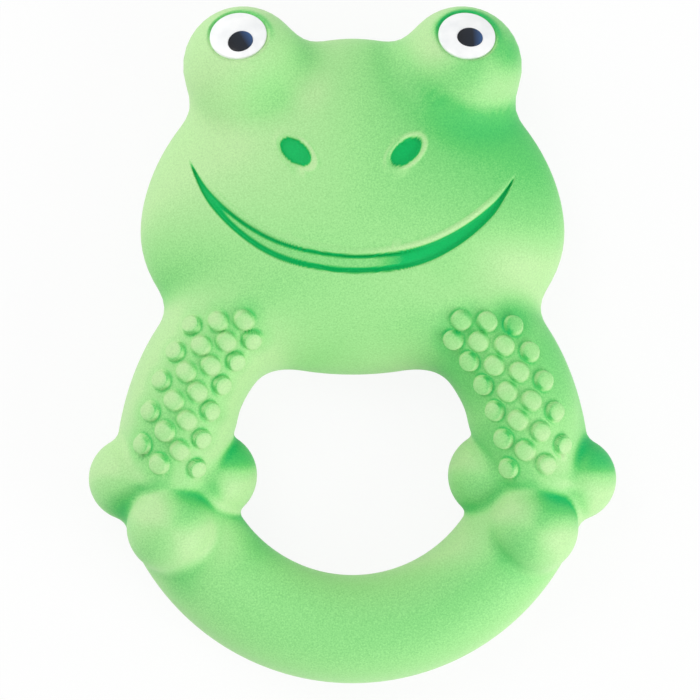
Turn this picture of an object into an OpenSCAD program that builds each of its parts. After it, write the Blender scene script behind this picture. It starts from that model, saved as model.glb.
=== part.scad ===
// Frog teether: a hollow moulded rubber skin in two bonded halves, with inlaid eyes and a soft filling.
// It lies on its back: X runs across the face, Y from the ring up to the eyes, and Z out of the face.
// The form is drawn about the centre of the grip hole, on the parting plane of the two halves.

/* [Ring] */
// Radius of the ring's centre line
ring_radius = 33; // [30:0.5:36]
// Radius of the ring's round tube
ring_tube = 9.5; // [8:0.25:11]

/* [Arms] */
// Radius of the arms' centre line round the grip hole
arm_radius = 30.2; // [28:0.1:32]
// Radius of that line where the arms meet the head
shoulder_radius = 29.2; // [28:0.1:32]
// Radius of an arm's sleeve
arm_tube = 9.75; // [8.5:0.05:11]
// Height of a sleeve's centre line above the parting plane
arm_rise = 4; // [2:0.25:5]
// Angle above level from which a sleeve runs straight down
arm_bend = 11; // [6:1:18]
// Depth of a cuff's end below the grip hole's centre
cuff_drop = 8.3; // [6:0.1:10]
// Radius of a sleeve at its cuff
cuff_tube = 7.6; // [7:0.1:9]
// Rounding of a cuff's edge
cuff_round = 2; // [1:0.25:3]

/* [Head] */
// Height of the head's widest line above the grip hole's centre
head_rise = 36.6; // [34:0.2:39]
// Half of the head's width
head_half = 37.2; // [33:0.2:41]
// Reach of the crown above the widest line
head_up = 34; // [31:0.2:38]
// Fullness of the outline over the crown, where 2 is an oval
crown_power = 1.86; // [1.7:0.02:2.2]
// Reach of the chin below the widest line
head_down = 25; // [22:0.5:27]
// Depth of the face in front of the parting plane
head_front = 16.5; // [14:0.5:19]
// Depth of the back of the head behind the parting plane
head_back = 10.5; // [9.5:0.25:12]

/* [Eyes] */
// Distance between the centres of the eye bulges
eye_spread = 38.3; // [34:0.1:44]
// Depth of the bulges' centres below the line of the crown
eye_drop = 5; // [3:0.25:8]
// Height of the bulges' centres above the parting plane
eye_rise = 3.5; // [2:0.25:5]
// Radius of an eye bulge
bulge_radius = 10.5; // [9.5:0.25:12]
// Angle by which the eyes look up
eye_tilt = 35; // [25:1:40]
// Angle by which each eye looks outwards
eye_turn = 6; // [0:1:12]
// Radius of the white
white_radius = 5; // [4:0.1:5.6]
// Depth of the white's edge below the rim of its socket
white_sink = 0.3; // [0.1:0.05:0.4]
// Height of the white's crown above its edge
white_rise = 1; // [0.6:0.05:1.4]
// Skin left behind the white
eye_backing = 0.6; // [0.4:0.05:0.8]
// Half width of the pupil
pupil_radius = 2.2; // [1.6:0.1:2.6]
// Height of the pupil as a share of its width
pupil_share = 0.86; // [0.7:0.02:1]
// Distance of the pupil below the middle of the white
pupil_drop = 1; // [0.4:0.1:1.5]
// Distance of both pupils to the right of the middle of the white
pupil_shift = 0.4; // [0:0.1:0.8]
// Depth of the pupil's seat below the white's crown
pupil_seat = 1.1; // [0.8:0.05:1.2]
// Height of the pupil above the white
pupil_crown = 0.12; // [0.04:0.02:0.4]

/* [Nostrils] */
// Distance between the nostrils
nostril_spread = 19.2; // [14:0.2:24]
// Height of the nostrils above the head's widest line
nostril_rise = 14.5; // [11:0.5:18]
// Length of a nostril
nostril_length = 6.4; // [4:0.2:8]
// Width of a nostril
nostril_width = 3.7; // [2.5:0.1:5]
// Depth of a nostril
nostril_depth = 1.3; // [0.6:0.1:1.6]
// Slant of the nostrils, outer ends up
nostril_slant = 40; // [20:1:60]

/* [Mouth] */
// Width of the smile from corner to corner
mouth_width = 56; // [44:0.5:60]
// Height of the smile's corners above the head's widest line
mouth_corner = 10.7; // [8:0.1:13]
// Sag of the upper lip below the corners
lip_sag = 14.7; // [12:0.1:16]
// Height of the open lips at the middle
mouth_open = 2.9; // [1.5:0.1:4]
// Depth of the groove between the lips
mouth_depth = 1.5; // [0.6:0.1:1.7]
// Height of the lower lip's strip above the groove's floor
strip_rise = 1.1; // [0.3:0.1:1.4]
// Turn of the whole smile, right corner down
mouth_turn = 2.5; // [0:0.5:5]

/* [Fingers] */
// Distance of the outer fingers below the grip hole's centre
hand_drop = 6.6; // [4:0.2:8]
// Height of the inner fingers above the outer ones
inner_lift = 0.6; // [0:0.1:1.5]
// Distance between the two side fingers of a hand
finger_spread = 14.6; // [13:0.2:17]
// Shift of the side fingers towards the grip hole
finger_inset = 0.7; // [0:0.1:1.5]
// Radius of an outer finger
finger_radius = 7.3; // [6:0.05:8]
// Radius of an inner finger
inner_radius = 7.6; // [6:0.05:8]
// Height of the side fingers above the parting plane
finger_rise = 1; // [0:0.25:2.5]
// Distance of the middle finger below the grip hole's centre
middle_drop = 15.1; // [13:0.1:17]
// Distance of the middle finger outside the ring's centre line
middle_out = 2.25; // [1:0.05:4]
// Radius of the middle finger
middle_radius = 7.85; // [6.5:0.05:8.5]
// Height of the middle finger above the parting plane
middle_rise = 6.2; // [5:0.1:7.5]

/* [Nubs] */
// Distance of a nub fan's centre beyond the midline
fan_across = 14.8; // [14:0.1:16]
// Distance of the nub fans' centres below the grip hole's centre
fan_drop = 9.5; // [8:0.1:11]
// Radius of the innermost arc of nubs
fan_radius = 42.2; // [41.5:0.1:43]
// Step between the arcs of nubs
fan_step = 3.3; // [3:0.05:3.6]
// Angle of the first nub above level
fan_start = 6.6; // [5.5:0.1:8]
// Angle between the first nubs of the innermost arc
nub_pitch = 7.2; // [6.8:0.05:7.6]
// Narrowing of that angle from each arc to the next
pitch_loss = 0.16; // [0:0.02:0.3]
// Closing up of the nubs along an arc
pitch_closing = 0.1; // [0:0.02:0.16]
// Nubs on each arc, from the inner one out
nub_counts = [6, 6, 6, 5]; // [3:1:6]
// Radius of a nub
nub_radius = 1.85; // [1.4:0.05:2.1]
// Height of a nub
nub_height = 1.05; // [0.6:0.05:1.6]

/* [Skin] */
// Thickness of the skin
wall = 2.6; // [2.2:0.1:3]
// Blend between the head and the eye bulges
eye_blend = 5; // [2:0.5:8]
// Blend between the head and the arms
neck_blend = 4.4; // [2:0.2:8]
// Blend between a cuff and its middle finger
cuff_blend = 2.2; // [1:0.2:4]
// Blend of the sleeves and middle fingers into the ring
sleeve_blend = 1.2; // [0.6:0.2:3]
// Blend round the side fingers
hand_blend = 1.4; // [0.6:0.2:4]
// Depth of the flat back behind the parting plane
back_depth = 8.7; // [8:0.1:9]

/* [Fits] */
// Room between the filling and the skin
filling_gap = 0.3; // [0.2:0.05:0.6]
// Angle above level at which the arm's filling ends under the head's
filling_split = 52; // [48:1:58]
// Room round an inlaid eye or pupil
inlay_gap = 0.05; // [0.03:0.01:0.1]

/* [Hidden] */

skin_green = "#9BE38C";
inlay_white = "#FBFCFC";
pupil_navy = "#1E2636";
wadding_cream = "#EFE9DA";

// Angles over which the ring's tube draws in to the arms' radius, and at which the arms reach the shoulders
tube_turn = [-25, 25];
shoulder_turn = 50;

// Places that follow from the sizes above
eye_height = head_rise + head_up - eye_drop;
hand_x = sqrt(ring_radius ^ 2 - hand_drop ^ 2) - finger_inset;
inner_finger = [hand_x - finger_spread / 2, inner_lift - hand_drop, finger_rise];
outer_finger = [hand_x + finger_spread / 2, -hand_drop, finger_rise];
middle_finger = [sqrt(ring_radius ^ 2 - middle_drop ^ 2) + middle_out, -middle_drop, middle_rise];
crown_y = eye_height + bulge_radius;
bottom_y = -(ring_radius + ring_tube);
middle_y = (crown_y + bottom_y) / 2;

// Distances along an eye's axis from the centre of its bulge
white_floor = bulge_radius - wall + eye_backing;
white_edge = sqrt(bulge_radius ^ 2 - white_radius ^ 2) - white_sink;
white_top = white_edge + white_rise;
white_dome = (white_radius ^ 2 + white_rise ^ 2) / (2 * white_rise);
pupil_floor = white_top - pupil_seat;

// Angles of the skin's stations round the grip hole, closer where the form turns fast
zone_ends = [-90, -40, 8, 50, 62, 82, 90];
zone_counts = [7, 18, 8, 6, 17, 4];
right_angles = [
    for (zone = [0:len(zone_counts) - 1])
        for (k = [0:zone_counts[zone] - 1])
            zone_ends[zone] + (zone_ends[zone + 1] - zone_ends[zone]) * k / zone_counts[zone]
];
half_count = len(right_angles);
left_angles = [for (k = [0:half_count - 1]) k == 0 ? 90 : 180 - right_angles[half_count - k]];
skin_angles = concat(right_angles, left_angles);

// Steps across each half of a section, outside and inside, with an odd count over the flat back
front_steps = 20;
back_steps = 7;
cavity_steps = 4;

// Blending of shapes by their signed distances
function mix(a, b, share) = a + (b - a) * share;
function ease(share) = let (t = min(max(share, 0), 1)) t * t * (3 - 2 * t);
function blend(a, b, size) = let (h = max(size - abs(a - b), 0) / size) min(a, b) - h * h * size / 4;
function overlap(a, b, size) = -blend(-a, -b, size);

// Signed distances of the shapes that the skin is blended from, on the right half
head_core = 0.1;
function head_distance(p) =
    let (
        q = [abs(p.x), abs(p.y - head_rise), abs(p.z)],
        above = p.y > head_rise,
        r = [head_half, above ? head_up : head_down, p.z > 0 ? head_front : head_back],
        power = above ? crown_power : 2,
        u = [q.x / r.x, q.y / r.y, q.z / r.z],
        flat = u.x ^ power + u.y ^ power,
        steep = flat ^ (2 / power - 1),
        near = norm([flat ^ (1 / power), u.z]),
        slope = norm([steep * u.x ^ (power - 1) / r.x, steep * u.y ^ (power - 1) / r.y, u.z / r.z])
    )
    near < head_core ? -head_back : near * (near - 1) / slope;

function arm_line(angle) =
    mix(arm_radius, shoulder_radius, ease((angle - arm_bend) / (shoulder_turn - arm_bend)));

function tube_distance(p) =
    let (
        angle = atan2(p.y, p.x),
        share = ease((angle - tube_turn[0]) / (tube_turn[1] - tube_turn[0])),
        off = norm([p.x, p.y]) - mix(ring_radius, arm_line(angle), share)
    )
    norm([off, p.z]) - mix(ring_tube, arm_tube, share);

// A sleeve follows the arm down to its bend, then runs straight and narrows to its level cuff
sleeve_length = (arm_radius * sin(arm_bend) + cuff_drop) / cos(arm_bend);
sleeve_out = [cos(arm_bend), sin(arm_bend)];
sleeve_down = [sin(arm_bend), -cos(arm_bend)];
function sleeve_distance(p) =
    let (
        away = [p.x, p.y] - arm_radius * sleeve_out,
        along = away * sleeve_down,
        off = along > 0 ? away * sleeve_out : norm([p.x, p.y]) - arm_line(atan2(p.y, p.x)),
        tube = mix(arm_tube, cuff_tube, ease(along / sleeve_length))
    )
    overlap(norm([off, p.z - arm_rise]) - tube, -p.y - cuff_drop, cuff_round);

function head_and_eyes(p) =
    blend(head_distance(p), norm(p - [eye_spread / 2, eye_height, eye_rise]) - bulge_radius, eye_blend);

function arm_and_hand(p) =
    let (
        cuffed = blend(sleeve_distance(p), norm(p - middle_finger) - middle_radius, cuff_blend),
        arm = blend(tube_distance(p), cuffed, sleeve_blend),
        fingers = min(norm(p - inner_finger) - inner_radius, norm(p - outer_finger) - finger_radius)
    )
    blend(arm, fingers, hand_blend);

function skin_distance(p) =
    let (q = [abs(p.x), p.y, p.z])
    blend(head_and_eyes(q), arm_and_hand(q), neck_blend);

// Distance from a point inside the skin to the surface that lies a depth below it, by halving
search_reach = 64;
search_rounds = 15;
function reach(from, way, depth, low = 0, high = search_reach, rounds = search_rounds) =
    let (middle = (low + high) / 2)
    rounds == 0 ? middle
        : skin_distance(from + way * middle) < -depth
            ? reach(from, way, depth, middle, high, rounds - 1)
            : reach(from, way, depth, low, middle, rounds - 1);

// Height of the face over a point of the parting plane, and the way that the face looks there
function face_height(x, y) = reach([x, y, 0], [0, 0, 1], 0);
normal_step = 0.2;
function face_normal(x, y) =
    let (
        fall_x = face_height(x - normal_step, y) - face_height(x + normal_step, y),
        fall_y = face_height(x, y - normal_step) - face_height(x, y + normal_step),
        n = [fall_x, fall_y, 2 * normal_step]
    )
    n / norm(n);

// One half of the section at an angle, as points from its outer edge over to its inner edge
heart_radius = (ring_radius + arm_radius) / 2;
function half_section(angle, side, depth, steps) =
    let (
        out = [cos(angle), sin(angle), 0],
        up = [0, 0, side],
        heart = out * heart_radius,
        outer = reach(heart, out, depth),
        inner = reach(heart, -out, depth),
        centre = heart + out * (outer - inner) / 2,
        half = (outer + inner) / 2,
        rise = reach(centre, up, depth),
        floor_depth = side > 0 ? search_reach : back_depth - depth
    )
    [
        for (k = [0:steps])
            let (
                turn = 180 * k / steps,
                across = k == 0 || k == steps,
                aim = across ? out * cos(turn) : out * half * cos(turn) + up * rise * sin(turn),
                way = aim / norm(aim),
                far = across ? half : reach(centre, way, depth),
                lift = abs(way.z)
            )
            centre + way * (lift * far > floor_depth ? floor_depth / lift : far)
    ];

function backwards(list) = [for (k = [len(list) - 1:-1:0]) list[k]];

// A skin half: its outer face, then its cavity face back again
function shell_section(angle, side, steps) =
    let (
        outside = half_section(angle, side, 0, steps),
        inside = backwards(half_section(angle, side, wall, cavity_steps)),
        loop = concat(outside, inside)
    )
    side > 0 ? loop : backwards(loop);

// A filling: the whole cavity with room all round
function filling_section(angle) =
    let (
        depth = wall + filling_gap,
        front = half_section(angle, 1, depth, cavity_steps),
        back = backwards(half_section(angle, -1, depth, cavity_steps))
    )
    concat(front, [for (k = [1:cavity_steps - 1]) back[k]]);

// Faces between two sections of a loft, each four-sided one split along its shorter diagonal
function band(points, a, b, count) = [
    for (j = [0:count - 1])
        let (
            next = (j + 1) % count,
            rising = norm(points[a + j] - points[b + next]),
            falling = norm(points[a + next] - points[b + j])
        )
        each rising < falling
            ? [[a + j, a + next, b + next], [a + j, b + next, b + j]]
            : [[a + j, a + next, b + j], [a + next, b + next, b + j]]
];

module ring_loft(sections) {
    count = len(sections[0]);
    last = len(sections) - 1;
    points = [for (section = sections) each section];
    polyhedron(
        points = points,
        faces = [for (i = [0:last]) each band(points, i * count, (i == last ? 0 : i + 1) * count, count)]
    );
}

// Point halfway between a section's extremes, which its cap's triangles share
function middle_of(section) =
    [for (axis = [0:2]) max([for (p = section) p[axis]]) + min([for (p = section) p[axis]])] / 2;

module capped_loft(sections) {
    count = len(sections[0]);
    last = len(sections) - 1;
    first_heart = (last + 1) * count;
    points = concat(
        [for (section = sections) each section],
        [middle_of(sections[0]), middle_of(sections[last])]
    );
    polyhedron(
        points = points,
        faces = concat(
            [for (i = [0:last - 1]) each band(points, i * count, (i + 1) * count, count)],
            [for (j = [0:count - 1]) [first_heart, (j + 1) % count, j]],
            [for (j = [0:count - 1]) [first_heart + 1, last * count + j, last * count + (j + 1) % count]]
        )
    );
}

// The finished part stands on its flat back, centred under its own outline
module placed() {
    translate([0, -middle_y, back_depth]) children();
}

// Frame of an eye: its bulge's centre, with Z along the way the eye looks
module eye_frame(side) {
    translate([side * eye_spread / 2, eye_height, eye_rise])
        rotate([-eye_tilt, side * eye_turn, 0])
            children();
}

// A straight plug of oval section
module oval_plug(radius, share, height) {
    linear_extrude(height)
        scale([1, share])
            circle(r = radius, $fn = 64);
}

// A plug from its floor up to a dome round the eye's axis
module domed_plug(radius, share, at, floor_at, top_at, dome) {
    intersection() {
        translate([at.x, at.y, floor_at])
            oval_plug(radius, share, top_at - floor_at);
        translate([0, 0, top_at - dome])
            sphere(r = dome, $fn = 96);
    }
}

module eye_socket(side) {
    eye_frame(side)
        translate([0, 0, white_floor])
            cylinder(r = white_radius + inlay_gap, h = bulge_radius, $fn = 48);
}

pupil_at = [pupil_shift, -pupil_drop];

module eye_white(side) {
    color(inlay_white) placed() eye_frame(side)
        difference() {
            domed_plug(white_radius, 1, [0, 0], white_floor, white_top, white_dome);
            translate([pupil_at.x, pupil_at.y, pupil_floor])
                oval_plug(pupil_radius + inlay_gap, pupil_share, bulge_radius);
        }
}

module pupil(side) {
    color(pupil_navy) placed() eye_frame(side)
        domed_plug(
            pupil_radius, pupil_share, pupil_at,
            pupil_floor, white_top + pupil_crown, white_dome + pupil_crown
        );
}

// One nub: a round button that stands out of the face, a little towards the way the mould opens
nub_lean = 0.9;
nub_root = 1.6;
nub_shoulder = 0.55;
nub_crown = 0.7;
nub_sides = 8;
module nub(x, y) {
    lean = mix([0, 0, 1], face_normal(x, y), nub_lean);
    translate([x, y, face_height(x, y)])
        rotate([-asin(lean.y / norm(lean)), atan2(lean.x, lean.z), 0])
            hull() {
                translate([0, 0, -nub_root])
                    cylinder(r = nub_radius, h = nub_root + nub_height * nub_shoulder, $fn = nub_sides);
                cylinder(r = nub_radius * nub_crown, h = nub_height, $fn = nub_sides);
            }
}

// A fan of nubs on each arm, centred beyond the midline, with every other arc half a step further on
module nub_fan(side) {
    for (arc = [0:len(nub_counts) - 1]) {
        radius = fan_radius + fan_step * arc;
        pitch = nub_pitch - pitch_loss * arc;
        for (k = [0:nub_counts[arc] - 1]) {
            step = k + (arc % 2) / 2;
            angle = fan_start + pitch * step - pitch_closing * step ^ 2;
            nub(side * (radius * cos(angle) - fan_across), radius * sin(angle) - fan_drop);
        }
    }
}

// A pit for a nostril, sunk from the face
module nostril(side) {
    x = side * nostril_spread / 2;
    y = head_rise + nostril_rise;
    translate([x, y, face_height(x, y)])
        rotate([0, 0, side * nostril_slant])
            scale([nostril_length / 2, nostril_width / 2, nostril_depth])
                sphere(r = 1, $fn = 24);
}

// Points of a lip: an arc from corner to corner with a given sag
function lip_radius(sag) = ((mouth_width / 2) ^ 2 + sag ^ 2) / (2 * sag);
function lip_point(share, sag) =
    let (
        radius = lip_radius(sag),
        spread = asin(mouth_width / 2 / radius),
        angle = mix(-spread, spread, share)
    )
    [radius * sin(angle), radius * (cos(spread) - cos(angle))];

// The smile: a groove between the two lips, deepest at the middle and running out at the corners,
// with a strip of the lower lip standing in it that fades before the right corner
mouth_steps = 28;
mouth_margin = 0.012;
mouth_above = 1.2;
groove_fullness = 0.6;
upper_wall = 0.14;
strip_top = [0.34, 0.6];
lower_wall = 0.12;
strip_span = [0.08, 0.8];
strip_fade = [0.14, 0.3];
module smile_groove() {
    function on_face(point, lift) = [point.x, point.y, face_height(point.x, point.y) + lift];
    function turned(point) =
        let (
            x = point.x * cos(mouth_turn) + point.y * sin(mouth_turn),
            y = point.y * cos(mouth_turn) - point.x * sin(mouth_turn)
        )
        [x, y + head_rise + mouth_corner];
    sections = [
        for (k = [0:mouth_steps])
            let (
                share = mix(mouth_margin, 1 - mouth_margin, k / mouth_steps),
                upper = turned(lip_point(share, lip_sag)),
                lower = turned(lip_point(share, lip_sag + mouth_open)),
                fullness = sin(180 * share) ^ groove_fullness,
                sink = mouth_depth * fullness,
                strip_in = ease((share - strip_span[0]) / strip_fade[0]),
                strip_out = ease((strip_span[1] - share) / strip_fade[1]),
                strip = strip_rise * fullness * strip_in * strip_out
            )
            [
                on_face(upper, mouth_above),
                on_face(mix(upper, lower, upper_wall), -sink),
                on_face(mix(upper, lower, strip_top[0]), strip - sink),
                on_face(mix(upper, lower, strip_top[1]), strip - sink),
                on_face(mix(lower, upper, lower_wall), -sink),
                on_face(lower, mouth_above)
            ]
    ];
    capped_loft(sections);
}

module front_shell() {
    color(skin_green) placed()
        difference() {
            union() {
                ring_loft([for (angle = skin_angles) shell_section(angle, 1, front_steps)]);
                nub_fan(1);
                nub_fan(-1);
            }
            smile_groove();
            nostril(1);
            nostril(-1);
            eye_socket(1);
            eye_socket(-1);
        }
}

module back_shell() {
    color(skin_green) placed()
        ring_loft([for (angle = skin_angles) shell_section(angle, -1, back_steps)]);
}

module left_eye_white() {
    eye_white(-1);
}

module right_eye_white() {
    eye_white(1);
}

module left_pupil() {
    pupil(-1);
}

module right_pupil() {
    pupil(1);
}

// The head's filling stops short of the arms' filling on both sides
filling_rest = 1;
head_steps = 24;
module head_filling() {
    low = filling_split + filling_rest;
    color(wadding_cream) placed()
        capped_loft([for (k = [0:head_steps]) filling_section(mix(low, 180 - low, k / head_steps))]);
}

module handle_filling() {
    low = filling_split - filling_rest;
    inside = [for (angle = skin_angles) if (angle < low) angle];
    beyond = [for (angle = skin_angles) if (angle > 180 - low) angle];
    angles = concat([180 - low - 360], [for (angle = beyond) angle - 360], inside, [low]);
    color(wadding_cream) placed()
        capped_loft([for (angle = angles) filling_section(angle)]);
}

front_shell();
back_shell();
left_eye_white();
right_eye_white();
left_pupil();
right_pupil();
head_filling();
handle_filling();
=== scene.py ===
import math

import bpy
import numpy as np
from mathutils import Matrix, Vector, noise


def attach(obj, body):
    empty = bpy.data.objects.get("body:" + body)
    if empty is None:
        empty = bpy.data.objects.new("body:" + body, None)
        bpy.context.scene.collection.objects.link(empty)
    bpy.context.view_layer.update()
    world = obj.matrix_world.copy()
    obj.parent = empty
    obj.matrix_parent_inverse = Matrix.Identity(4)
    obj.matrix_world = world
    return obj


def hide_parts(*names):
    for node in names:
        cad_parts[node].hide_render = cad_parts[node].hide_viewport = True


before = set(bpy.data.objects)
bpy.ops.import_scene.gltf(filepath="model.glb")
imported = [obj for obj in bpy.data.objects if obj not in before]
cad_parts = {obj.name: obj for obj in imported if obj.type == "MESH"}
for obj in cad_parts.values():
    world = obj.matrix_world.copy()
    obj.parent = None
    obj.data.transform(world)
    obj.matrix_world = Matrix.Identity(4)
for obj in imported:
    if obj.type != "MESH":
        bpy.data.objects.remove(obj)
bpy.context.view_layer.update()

scene = bpy.context.scene
scene.view_settings.view_transform = "Standard"
mm = 0.001
print("frame loaded")

# The camera looks straight down on the face, as the photograph does
view = {
    "aimX": -0.44 * mm,
    "aimY": -0.84 * mm,
    "level": 8.7 * mm,  # height of the outline, where the scale is taken
    "frameWidth": 122.8 * mm,
    "lens": 400.0,
    "sensor": 36.0,
    "clipEnd": 20.0,
}
cameraHeight = view["level"] + view["frameWidth"] * view["lens"] / view["sensor"]
bpy.ops.object.select_all(action="DESELECT")
bpy.ops.object.camera_add(location=(view["aimX"], view["aimY"], cameraHeight), rotation=(0, 0, 0))
camera = bpy.context.object
camera.name = "photoCamera"
camera.data.lens = view["lens"]
camera.data.sensor_width = view["sensor"]
camera.data.clip_end = view["clipEnd"]
scene.camera = camera
print("camera set")


# Small helpers
def linearColor(hexText):
    channels = [int(hexText[i:i + 2], 16) / 255 for i in (1, 3, 5)]
    return [c / 12.92 if c <= 0.04045 else ((c + 0.055) / 1.055) ** 2.4 for c in channels] + [1]


def addNode(tree, kind, settings=None, values=None, links=None):
    node = tree.nodes.new(kind)
    for name, value in (settings or {}).items():
        setattr(node, name, value)
    for name, value in (values or {}).items():
        node.inputs[name].default_value = value
    for name, source in (links or {}).items():
        tree.links.new(source, node.inputs[name])
    return node


def newMaterial(name):
    material = bpy.data.materials.new(name)
    material.use_nodes = True
    material.node_tree.nodes.clear()
    return material, material.node_tree


def closeMaterial(tree, shader):
    addNode(tree, "ShaderNodeOutputMaterial", None, None, {"Surface": shader.outputs[0]})


def noiseOf(tree, width, values):
    # Noise with features about this wide, fixed to the piece
    place = addNode(tree, "ShaderNodeTexCoord")
    return addNode(
        tree, "ShaderNodeTexNoise", {"noise_dimensions": "3D"},
        {"Scale": 1 / width, **values},
        {"Vector": place.outputs["Object"]},
    )


def setRamp(ramp, stops):
    while len(ramp.elements) < len(stops):
        ramp.elements.new(0.5)
    for element, (position, hexText) in zip(ramp.elements, stops):
        element.position = position
        element.color = linearColor(hexText)


def clearSelection():
    if bpy.context.object and bpy.context.object.mode != "OBJECT":
        bpy.ops.object.mode_set(mode="OBJECT")
    bpy.ops.object.select_all(action="DESELECT")


def makeActive(obj):
    clearSelection()
    obj.select_set(True)
    bpy.context.view_layer.objects.active = obj


def selectParts(obj, kind, chosen):
    # Selects faces or edges of a piece, and leaves it in edit mode
    makeActive(obj)
    bpy.ops.object.mode_set(mode="EDIT")
    bpy.context.tool_settings.mesh_select_mode = (False, kind == "edges", kind == "polygons")
    bpy.ops.mesh.select_all(action="DESELECT")
    bpy.ops.object.mode_set(mode="OBJECT")
    getattr(obj.data, kind).foreach_set("select", np.asarray(chosen, bool))
    bpy.ops.object.mode_set(mode="EDIT")


def finishEdit():
    bpy.ops.object.mode_set(mode="OBJECT")


def applyPlace(obj):
    makeActive(obj)
    bpy.ops.object.transform_apply(location=True, rotation=True, scale=True)


def nameObject(obj, name):
    obj.name = name
    obj.data.name = name


# The moulded form, in millimetres about the middle of the grip hole, on the parting plane of the two halves
ring = {"radius": 33.0, "tube": 9.5}
arm = {
    "radius": 30.2, "tube": 9.75, "rise": 4.0, "turnStart": -25.0, "turnEnd": 25.0,
    "shoulderRadius": 29.2, "shoulderAngle": 50.0, "bend": 11.0,
    "cuffDrop": 8.3, "cuffTube": 7.6, "cuffRound": 2.0,
}
head = {"rise": 36.6, "half": 37.2, "up": 34.0, "down": 25.0, "front": 16.5, "back": 10.5, "crownPower": 1.86}
bulge = {"spread": 38.3, "drop": 5.0, "rise": 3.5, "radius": 10.5, "tilt": 35.0, "turn": 6.0}
finger = {
    "drop": 6.6, "innerLift": 0.6, "spread": 14.6, "inset": 0.7,
    "radius": 7.3, "innerRadius": 7.6, "rise": 1.0,
}
middle = {"drop": 15.1, "out": 2.25, "radius": 7.85, "rise": 6.2}
blends = {"eye": 5.0, "neck": 4.4, "cuff": 2.2, "sleeve": 1.2, "hand": 1.4}
skin = {
    "wall": 2.6, "backDepth": 8.7, "backRound": 1.6, "seamDepth": 0.12, "seamReach": 0.5, "crease": 50.0,
    "outerDepth": 0.5,  # points less deep than this are on the outer face, not on the lining
    "partingLevel": 0.01,  # points nearer than this to the parting plane stay on it
}

eyeHeight = head["rise"] + head["up"] - bulge["drop"]
bulgeCentre = np.array([bulge["spread"] / 2, eyeHeight, bulge["rise"]])
handX = math.sqrt(ring["radius"] ** 2 - finger["drop"] ** 2) - finger["inset"]
innerFinger = np.array([handX - finger["spread"] / 2, finger["innerLift"] - finger["drop"], finger["rise"]])
outerFinger = np.array([handX + finger["spread"] / 2, -finger["drop"], finger["rise"]])
middleX = math.sqrt(ring["radius"] ** 2 - middle["drop"] ** 2) + middle["out"]
middleFinger = np.array([middleX, -middle["drop"], middle["rise"]])
crownY = eyeHeight + bulge["radius"]
bottomY = -(ring["radius"] + ring["tube"])
formOrigin = np.array([0, -(crownY + bottomY) / 2, skin["backDepth"]])


def toFrame(points):
    return (points + formOrigin) * mm


def toForm(points):
    return points / mm - formOrigin


def ease(low, high, value):
    t = np.clip((value - low) / (high - low), 0, 1)
    return t * t * (3 - 2 * t)


def blend(a, b, size):
    near = np.clip(size - np.abs(a - b), 0, None) / size
    return np.minimum(a, b) - near * near * size / 4


def softMax(a, b, size):
    return -blend(-a, -b, size)


def distanceTo(points, centre):
    return np.linalg.norm(points - centre, axis=1)


def headDistance(points):
    # An ellipsoid whose outline draws in a little faster over the crown than an oval does
    away = np.abs(points - [0, head["rise"], 0])
    above = points[:, 1] > head["rise"]
    power = np.where(above, head["crownPower"], 2.0)
    across = away[:, 0] / head["half"]
    upright = away[:, 1] / np.where(above, head["up"], head["down"])
    deep = np.where(points[:, 2] > 0, head["front"], head["back"])
    flat = np.maximum(across ** power + upright ** power, 1e-9)
    near = np.sqrt(flat ** (2 / power) + (away[:, 2] / deep) ** 2)
    steep = flat ** (2 / power - 1)
    slopeX = steep * across ** (power - 1) / head["half"]
    slopeY = steep * upright ** (power - 1) / np.where(above, head["up"], head["down"])
    slope = np.sqrt(slopeX ** 2 + slopeY ** 2 + (away[:, 2] / deep ** 2) ** 2)
    # Close to the middle, where the slope runs out, the head's depth stands in
    return np.where(near < 0.1, -head["back"], near * (near - 1) / np.maximum(slope, 1e-6))


def armLine(angle):
    # Radius of an arm's centre line, which draws in a little towards the shoulder
    share = ease(arm["bend"], arm["shoulderAngle"], angle)
    return arm["radius"] + (arm["shoulderRadius"] - arm["radius"]) * share


def tubeDistance(points):
    angle = np.degrees(np.arctan2(points[:, 1], points[:, 0]))
    share = ease(arm["turnStart"], arm["turnEnd"], angle)
    off = np.hypot(points[:, 0], points[:, 1]) - ring["radius"] - (armLine(angle) - ring["radius"]) * share
    return np.hypot(off, points[:, 2]) - ring["tube"] - (arm["tube"] - ring["tube"]) * share


def sleeveDistance(points):
    # An arm's sleeve follows the arc down to its bend, then runs straight and narrows to a cuff
    bend = math.radians(arm["bend"])
    outward = np.array([math.cos(bend), math.sin(bend)])
    away = points[:, :2] - arm["radius"] * outward
    along = away @ [math.sin(bend), -math.cos(bend)]
    length = (arm["radius"] * math.sin(bend) + arm["cuffDrop"]) / math.cos(bend)
    arc = np.hypot(points[:, 0], points[:, 1]) - armLine(np.degrees(np.arctan2(points[:, 1], points[:, 0])))
    off = np.where(along > 0, away @ outward, arc)
    tube = arm["tube"] - (arm["tube"] - arm["cuffTube"]) * ease(0, length, along)
    side = np.hypot(off, points[:, 2] - arm["rise"]) - tube
    return softMax(side, -points[:, 1] - arm["cuffDrop"], arm["cuffRound"])


def skinDistance(points):
    p = points.copy()
    p[:, 0] = np.abs(p[:, 0])
    face = blend(headDistance(p), distanceTo(p, bulgeCentre) - bulge["radius"], blends["eye"])
    cuffed = blend(sleeveDistance(p), distanceTo(p, middleFinger) - middle["radius"], blends["cuff"])
    sleeve = blend(tubeDistance(p), cuffed, blends["sleeve"])
    inner = distanceTo(p, innerFinger) - finger["innerRadius"]
    outer = distanceTo(p, outerFinger) - finger["radius"]
    hand = blend(sleeve, np.minimum(inner, outer), blends["hand"])
    return blend(face, hand, blends["neck"])


def flatBackDistance(points):
    return softMax(skinDistance(points), -points[:, 2] - skin["backDepth"], skin["backRound"])


def onOuterFace(form, points):
    return form(points) > -skin["outerDepth"]


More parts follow.
